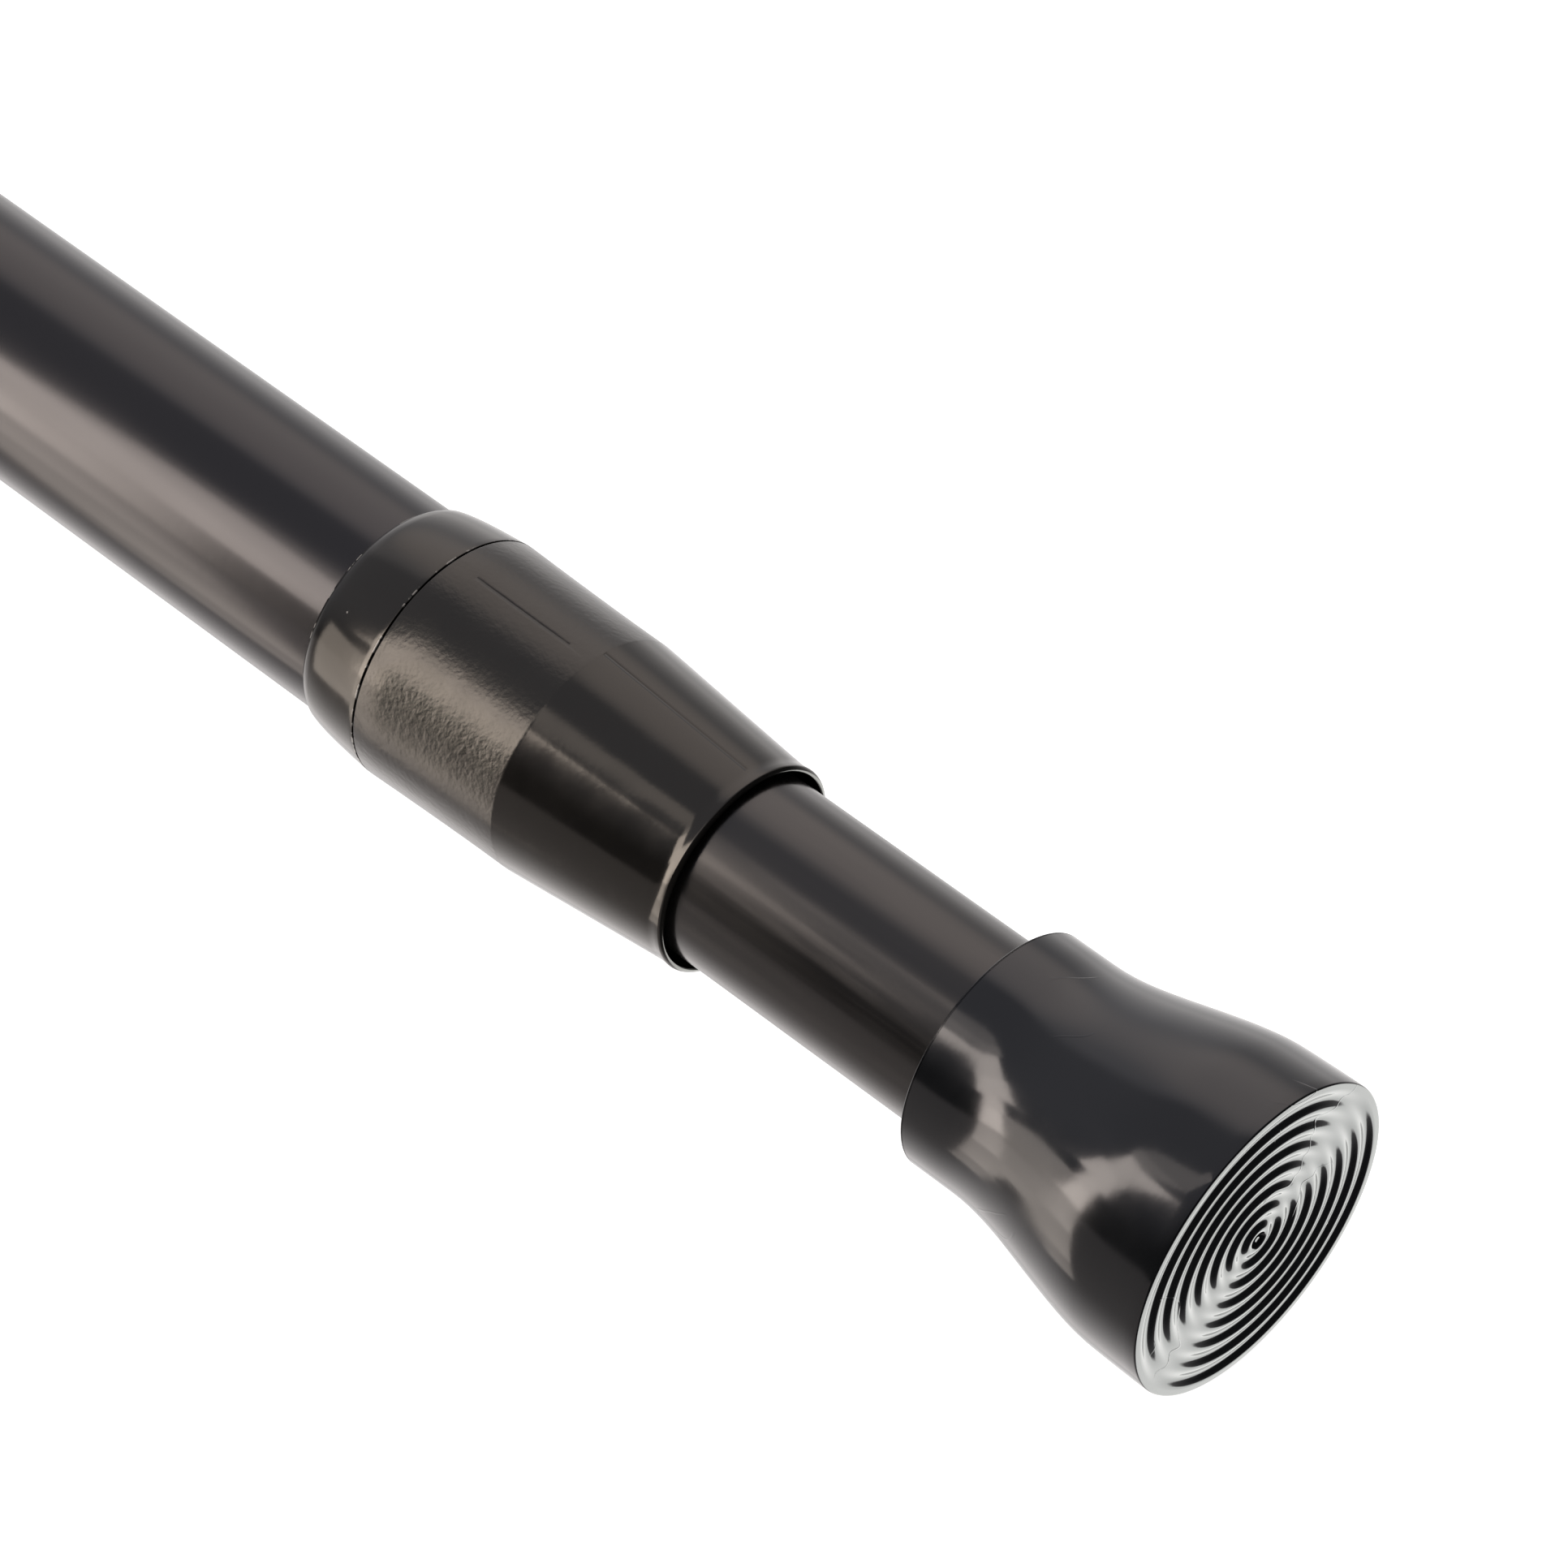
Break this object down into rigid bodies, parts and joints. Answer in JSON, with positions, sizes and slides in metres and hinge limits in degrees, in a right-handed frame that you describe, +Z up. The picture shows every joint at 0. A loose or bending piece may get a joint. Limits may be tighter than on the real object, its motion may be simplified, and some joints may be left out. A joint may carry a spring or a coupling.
{
  "type": "pull up bar",
  "caption": "Telescopic pressure-fit doorway bar with a twist collar, a sliding inner tube, a jack foot and flared rubber feet at both ends.",
  "frame": {"origin": "centre of the jack foot's wall face", "axes": "+X along the bar towards the sliding foot, +Y to the back, +Z up"},
  "size_m": [0.66, 0.036, 0.036],
  "materials": {
    "gloss_enamel": "gloss",
    "satin_enamel": "satin",
    "moulded_black": "gloss with a fine etched barrel",
    "boot_rubber": "polished soft vinyl",
    "core_plastic": "matte",
    "nylon": "natural, waxy",
    "zinc_steel": "zinc plated"
  },
  "bodies": {
    "jack_foot": {"far_boot": "boot_rubber", "far_core": "core_plastic", "jack_spindle": "zinc_steel", "jack_stop_collar": "zinc_steel", "jack_stop_pin": "zinc_steel"},
    "guide_ring": {"jack_guide_ring": "nylon"},
    "bar": {"outer_tube": "gloss_enamel", "collar_base": "moulded_black", "collar_pins": "zinc_steel", "guide_liner": "nylon", "jack_nut": "zinc_steel", "jack_nut_pins": "zinc_steel"},
    "clamp": {"clamp_ring": "nylon"},
    "nut": {"clamp_nut": "moulded_black"},
    "inner": {"inner_tube": "satin_enamel", "inner_guide": "nylon", "inner_guide_pins": "zinc_steel", "end_plug": "core_plastic", "end_plug_pins": "zinc_steel", "swivel_bolt": "zinc_steel", "swivel_washer": "nylon"},
    "sliding_foot": {"near_core": "core_plastic", "near_boot": "boot_rubber"}
  },
  "joints": [
    {"name": "jack_turn", "type": "hinge", "parent": "jack_foot", "child": "guide_ring", "pos_m": [0.02, 0, 0], "axis": [1, 0, 0], "range_deg": [0, 2160]},
    {"name": "jack_travel", "type": "slide", "parent": "guide_ring", "child": "bar", "axis": [1, 0, 0], "range_m": [0, 0.012]},
    {"name": "clamp_travel", "type": "slide", "parent": "bar", "child": "clamp", "axis": [1, 0, 0], "range_m": [0, 0.002]},
    {"name": "nut_turn", "type": "hinge", "parent": "clamp", "child": "nut", "pos_m": [0.57, 0, 0], "axis": [1, 0, 0], "range_deg": [0, 360]},
    {"name": "inner_slide", "type": "slide", "parent": "bar", "child": "inner", "axis": [1, 0, 0], "range_m": [-0.032, 0.339]},
    {"name": "foot_swivel", "type": "hinge", "parent": "inner", "child": "sliding_foot", "pos_m": [0.648, 0, 0], "axis": [1, 0, 0], "continuous": true}
  ],
  "couplings": [
    {"joint": "jack_travel", "follows": "jack_turn", "m_per_rad": 0.0003183},
    {"joint": "clamp_travel", "follows": "nut_turn", "m_per_rad": 0.0003183}
  ]
}
